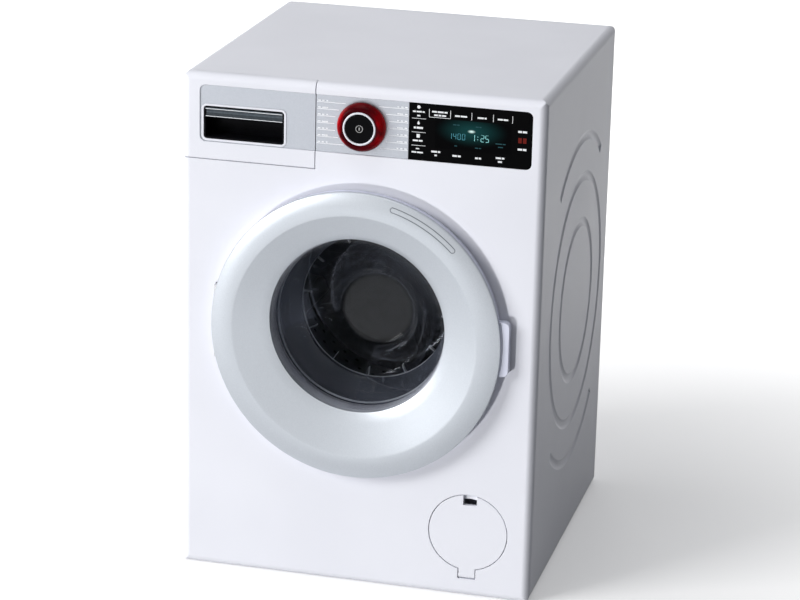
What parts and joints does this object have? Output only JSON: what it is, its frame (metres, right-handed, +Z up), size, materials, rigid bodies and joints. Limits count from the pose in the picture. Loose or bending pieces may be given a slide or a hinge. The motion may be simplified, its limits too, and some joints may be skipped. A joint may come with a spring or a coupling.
{
  "type": "toy washing machine",
  "caption": "Front-loading toy washing machine with a swinging porthole door, geared drum, sliding drawer, turning knob, push button and drop-down filter flap.",
  "frame": {"origin": "middle of the toy's outline on the surface it stands on, door included", "axes": "+Z up, the door and controls face -Y, +X to the right as seen from the front"},
  "size_m": [0.183, 0.1874, 0.26],
  "materials": {
    "white_plastic": "smooth injection-moulded ABS",
    "silver_plastic": "silver-painted ABS with a fine satin",
    "black_gloss": "polished black acrylic",
    "black_plastic": "satin black ABS",
    "dark_grey_plastic": "satin dark grey ABS",
    "smoke_clear": "clear smoke-tinted polystyrene",
    "seal_rubber": "soft grey rubber",
    "drum_silver": "silver-grey metallised ABS",
    "tub_grey": "light grey polypropylene",
    "red_clear": "translucent red polycarbonate",
    "dark_chrome": "dark chromed plastic",
    "gear_white": "natural acetal",
    "steel": "zinc-plated steel",
    "motor_steel": "plated steel can",
    "brass": "turned brass",
    "board_green": "solder-masked board",
    "led_teal": "lit display module",
    "cell_wrap": "plain wrapped cell",
    "speaker_black": "paper cone in a black frame"
  },
  "bodies": {
    "cabinet": {"front_panel": "white_plastic", "cabinet_shell": "white_plastic", "rear_panel": "white_plastic", "control_fascia": "silver_plastic", "display_lens": "black_gloss", "circuit_board": "board_green", "display_led": "led_teal", "start_switch": "black_plastic", "board_screws": "steel", "door_seal": "seal_rubber", "tub_front": "tub_grey", "tub_rear": "tub_grey", "tub_screws": "steel", "drum_bearing": "brass", "gear_bracket": "steel", "bracket_screws": "steel", "idler_shaft": "steel", "motor": "motor_steel", "battery_box": "black_plastic", "battery_cells": "cell_wrap", "battery_contacts": "steel", "battery_cover": "white_plastic", "cover_screw": "steel", "rear_screws": "steel", "speaker": "speaker_black", "drawer_housing": "tub_grey", "hinge_bracket": "steel", "hinge_pin": "steel", "hinge_screws": "steel", "latch_catch": "gear_white", "flap_pocket": "tub_grey", "flap_pin": "steel"},
    "door": {"door_shell": "white_plastic", "door_ring": "silver_plastic", "door_window": "smoke_clear", "window_bezel": "dark_grey_plastic", "latch_hook": "dark_grey_plastic", "door_screws": "steel"},
    "drum": {"drum": "drum_silver", "drum_shaft": "steel", "drum_gear": "gear_white", "shaft_clip": "steel"},
    "idler": {"idler_gear": "gear_white"},
    "motor_rotor": {"motor_shaft": "steel", "motor_pinion": "brass"},
    "knob": {"programme_knob": "red_clear", "knob_carrier": "dark_grey_plastic", "knob_trim_ring": "white_plastic", "knob_clip": "gear_white"},
    "button": {"start_button": "black_plastic"},
    "drawer": {"drawer_front": "white_plastic", "drawer_inlay": "silver_plastic", "drawer_grip_cup": "black_plastic", "drawer_grip_bar": "dark_chrome", "drawer_tray": "tub_grey"},
    "flap": {"filter_flap": "white_plastic"}
  },
  "joints": [
    {"name": "door_hinge", "type": "hinge", "parent": "cabinet", "child": "door", "pos_m": [-0.0721, -0.0873, 0.1342], "axis": [0, 0, -1], "range_deg": [0, 100]},
    {"name": "drum_spin", "type": "hinge", "parent": "cabinet", "child": "drum", "pos_m": [0, 0, 0.1384], "axis": [0, 1, 0], "continuous": true},
    {"name": "idler_spin", "type": "hinge", "parent": "cabinet", "child": "idler", "pos_m": [0.03637, 0, 0.1174], "axis": [0, 1, 0], "continuous": true},
    {"name": "motor_spin", "type": "hinge", "parent": "cabinet", "child": "motor_rotor", "pos_m": [0.04987, 0, 0.09402], "axis": [0, 1, 0], "continuous": true},
    {"name": "knob_turn", "type": "hinge", "parent": "cabinet", "child": "knob", "pos_m": [0.00015, 0, 0.2397], "axis": [0, 1, 0], "continuous": true},
    {"name": "start_press", "type": "slide", "parent": "cabinet", "child": "button", "axis": [0, 1, 0], "range_m": [0, 0.0015], "stiffness_N_per_m": 400},
    {"name": "drawer_slide", "type": "slide", "parent": "cabinet", "child": "drawer", "axis": [0, -1, 0], "range_m": [0, 0.05]},
    {"name": "flap_hinge", "type": "hinge", "parent": "cabinet", "child": "flap", "pos_m": [0.0592, -0.0831, 0.0111], "axis": [1, 0, 0], "range_deg": [0, 90]}
  ],
  "couplings": [
    {"joint": "idler_spin", "follows": "drum_spin", "ratio": -6},
    {"joint": "motor_spin", "follows": "drum_spin", "ratio": 21}
  ]
}
